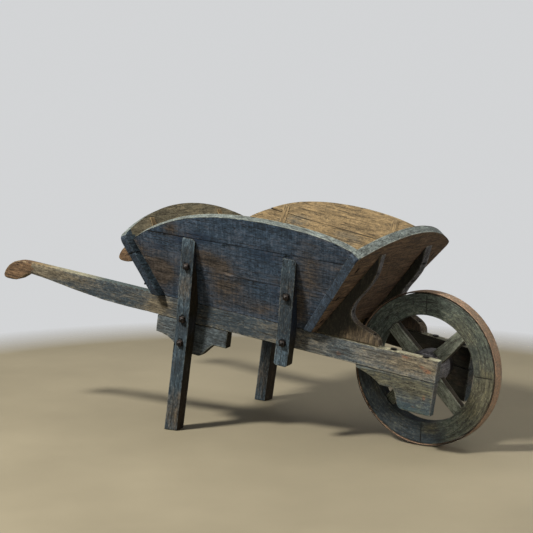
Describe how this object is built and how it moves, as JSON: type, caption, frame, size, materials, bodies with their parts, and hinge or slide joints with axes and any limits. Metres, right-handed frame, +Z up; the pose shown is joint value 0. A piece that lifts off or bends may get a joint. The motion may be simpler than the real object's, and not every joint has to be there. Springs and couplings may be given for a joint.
{
  "type": "wheelbarrow",
  "caption": "Old wooden garden wheelbarrow: flared board tray with arched ends on two long shafts, two legs and a spoked wooden wheel with an iron tyre.",
  "frame": {"origin": "on the ground, on the centre line, midway along the length", "axes": "+X forward to the wheel, +Y to the left, +Z up; it stands on its wheel and two legs"},
  "size_m": [1.6942, 0.7024, 0.7103],
  "materials": {
    "blue_grey_paint": "weathered blue-grey paint over brown wood",
    "worn_brown_wood": "worn brown wood with remains of blue paint",
    "bare_wood": "bare weathered wood",
    "green_grey_paint": "weathered green-grey paint",
    "rusty_iron": "rusty iron strap",
    "dark_iron": "dark forged iron"
  },
  "bodies": {
    "frame": {"right_shaft": "worn_brown_wood", "right_bearing_block": "worn_brown_wood", "right_leg_bracket": "blue_grey_paint", "right_leg": "blue_grey_paint", "right_side_stake": "blue_grey_paint", "right_scroll_bracket": "worn_brown_wood", "right_leg_bolt_1": "dark_iron", "right_leg_bolt_2": "dark_iron", "right_leg_bolt_3": "dark_iron", "right_stake_bolt_1": "dark_iron", "right_stake_bolt_2": "dark_iron", "right_bearing_bolt_1": "dark_iron", "right_bearing_bolt_2": "dark_iron", "right_side_board_low": "blue_grey_paint", "right_side_board_middle": "blue_grey_paint", "right_side_board_top": "blue_grey_paint", "left_shaft": "worn_brown_wood", "left_bearing_block": "worn_brown_wood", "left_leg_bracket": "blue_grey_paint", "left_leg": "blue_grey_paint", "left_side_stake": "blue_grey_paint", "left_scroll_bracket": "worn_brown_wood", "left_leg_bolt_1": "dark_iron", "left_leg_bolt_2": "dark_iron", "left_leg_bolt_3": "dark_iron", "left_stake_bolt_1": "dark_iron", "left_stake_bolt_2": "dark_iron", "left_bearing_bolt_1": "dark_iron", "left_bearing_bolt_2": "dark_iron", "left_side_board_low": "blue_grey_paint", "left_side_board_middle": "blue_grey_paint", "left_side_board_top": "blue_grey_paint", "front_board_low": "worn_brown_wood", "front_board_top": "worn_brown_wood", "rear_board_low": "worn_brown_wood", "rear_board_top": "worn_brown_wood", "cross_rail_front": "bare_wood", "cross_rail_middle": "bare_wood", "cross_rail_rear": "bare_wood", "floor_board_right": "bare_wood", "floor_board_middle": "bare_wood", "floor_board_left": "bare_wood"},
    "wheel": {"tyre": "rusty_iron", "hub": "green_grey_paint", "hub_band_left": "dark_iron", "hub_band_right": "dark_iron", "axle": "dark_iron", "spoke_1": "green_grey_paint", "felloe_1": "green_grey_paint", "spoke_2": "green_grey_paint", "felloe_2": "green_grey_paint", "spoke_3": "green_grey_paint", "felloe_3": "green_grey_paint", "spoke_4": "green_grey_paint", "felloe_4": "green_grey_paint"}
  },
  "joints": [
    {"name": "wheel_spin", "type": "hinge", "parent": "frame", "child": "wheel", "pos_m": [0.6071, 0, 0.24], "axis": [0, 1, 0], "continuous": true}
  ]
}
